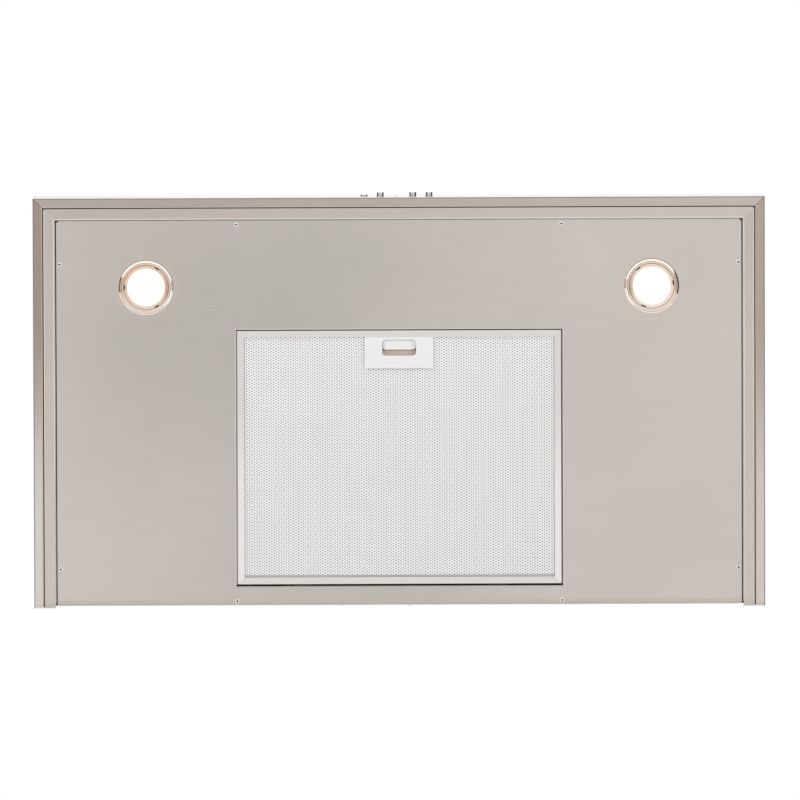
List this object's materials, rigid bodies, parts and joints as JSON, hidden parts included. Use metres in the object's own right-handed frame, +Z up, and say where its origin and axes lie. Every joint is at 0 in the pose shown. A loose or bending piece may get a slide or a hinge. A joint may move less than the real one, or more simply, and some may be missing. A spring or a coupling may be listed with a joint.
{
  "type": "wall mount range hood",
  "caption": "Stainless wall mount range hood seen from below: canopy with recessed underside panel, lamps, drop-down mesh grease filter, push buttons, blower and telescopic chimney.",
  "frame": {"origin": "on the wall plane, midway between the two hanging slots of the back plate, 200 mm above the lowest face of the hood", "axes": "+Z up, -Y out from the wall towards the cook, +X to the cook's right"},
  "size_m": [0.9, 0.51, 0.86],
  "materials": {
    "brushed_stainless": "satin",
    "galvanised_steel": "satin",
    "filter_aluminium": "satin",
    "mesh_aluminium": "satin",
    "handle_aluminium": "satin",
    "latch_plastic": "matte",
    "black_plastic": "matte",
    "chrome_trim": "polished",
    "screw_steel": "satin",
    "frosted_glass": "satin",
    "clear_glass": "gloss",
    "socket_ceramic": "matte",
    "pilot_lens": "gloss",
    "motor_paint": "satin",
    "capacitor_case": "gloss"
  },
  "bodies": {
    "hood": {"canopy_shell": "brushed_stainless", "back_plate": "galvanised_steel", "inner_rim": "brushed_stainless", "underside_panel": "brushed_stainless", "panel_brackets": "galvanised_steel", "panel_screws": "screw_steel", "rear_rivets": "screw_steel", "lower_chimney": "brushed_stainless", "switch_body": "black_plastic", "pilot_lamp": "pilot_lens", "blower_scroll": "galvanised_steel", "blower_cover_left": "galvanised_steel", "blower_cover_right": "galvanised_steel", "blower_deck": "galvanised_steel", "motor_bracket": "galvanised_steel", "motor": "motor_paint", "inner_screws": "screw_steel", "duct_collar": "black_plastic", "damper_pin": "screw_steel", "terminal_box": "black_plastic", "terminal_box_lid": "black_plastic", "terminal_block": "latch_plastic", "cable_gland": "black_plastic", "run_capacitor": "capacitor_case", "capacitor_clip": "galvanised_steel", "lamp_transformer": "motor_paint", "lamp_left_bezel": "chrome_trim", "lamp_left_cone_ring": "chrome_trim", "lamp_left_lens": "frosted_glass", "lamp_left_housing": "filter_aluminium", "lamp_left_socket": "socket_ceramic", "lamp_left_bulb": "clear_glass", "lamp_left_clips": "screw_steel", "lamp_right_bezel": "chrome_trim", "lamp_right_cone_ring": "chrome_trim", "lamp_right_lens": "frosted_glass", "lamp_right_housing": "filter_aluminium", "lamp_right_socket": "socket_ceramic", "lamp_right_bulb": "clear_glass", "lamp_right_clips": "screw_steel"},
    "filter": {"filter_frame": "filter_aluminium", "filter_face_mesh": "mesh_aluminium", "filter_media": "mesh_aluminium", "filter_rear_mesh": "mesh_aluminium", "filter_tabs": "filter_aluminium", "filter_handle_plate": "handle_aluminium", "latch_housing": "latch_plastic", "latch_springs": "screw_steel"},
    "latch": {"latch_slider": "latch_plastic"},
    "light_button": {"button_light": "chrome_trim"},
    "low_button": {"button_low": "chrome_trim"},
    "medium_button": {"button_medium": "chrome_trim"},
    "high_button": {"button_high": "chrome_trim"},
    "rotor": {"impeller": "black_plastic", "motor_shaft": "screw_steel"},
    "front_damper": {"damper_flap_front": "black_plastic"},
    "rear_damper": {"damper_flap_rear": "black_plastic"},
    "telescopic_chimney": {"upper_chimney": "brushed_stainless", "ceiling_bracket": "galvanised_steel", "chimney_screws": "screw_steel"}
  },
  "joints": [
    {"name": "filter_swing", "type": "hinge", "parent": "hood", "child": "filter", "pos_m": [0, -0.026, -0.197], "axis": [1, 0, 0], "range_deg": [0, 60]},
    {"name": "latch_slide", "type": "slide", "parent": "filter", "child": "latch", "axis": [0, 1, 0], "range_m": [0, 0.0055], "stiffness_N_per_m": 600},
    {"name": "light_button_push", "type": "slide", "parent": "hood", "child": "light_button", "axis": [0, 1, 0], "range_m": [-0.0028, 0.0007]},
    {"name": "low_button_push", "type": "slide", "parent": "hood", "child": "low_button", "axis": [0, 1, 0], "range_m": [0, 0.0035], "stiffness_N_per_m": 400},
    {"name": "medium_button_push", "type": "slide", "parent": "hood", "child": "medium_button", "axis": [0, 1, 0], "range_m": [0, 0.0035], "stiffness_N_per_m": 400},
    {"name": "high_button_push", "type": "slide", "parent": "hood", "child": "high_button", "axis": [0, 1, 0], "range_m": [0, 0.0035], "stiffness_N_per_m": 400},
    {"name": "impeller_spin", "type": "hinge", "parent": "hood", "child": "rotor", "pos_m": [0, -0.16, -0.062], "axis": [1, 0, 0], "continuous": true},
    {"name": "front_damper_swing", "type": "hinge", "parent": "hood", "child": "front_damper", "pos_m": [0, -0.125, 0.089], "axis": [-1, 0, 0], "range_deg": [0, 75]},
    {"name": "rear_damper_swing", "type": "hinge", "parent": "hood", "child": "rear_damper", "pos_m": [0, -0.125, 0.089], "axis": [1, 0, 0], "range_deg": [0, 75]},
    {"name": "chimney_slide", "type": "slide", "parent": "hood", "child": "telescopic_chimney", "axis": [0, 0, 1], "range_m": [-0.16, 0.17]}
  ]
}
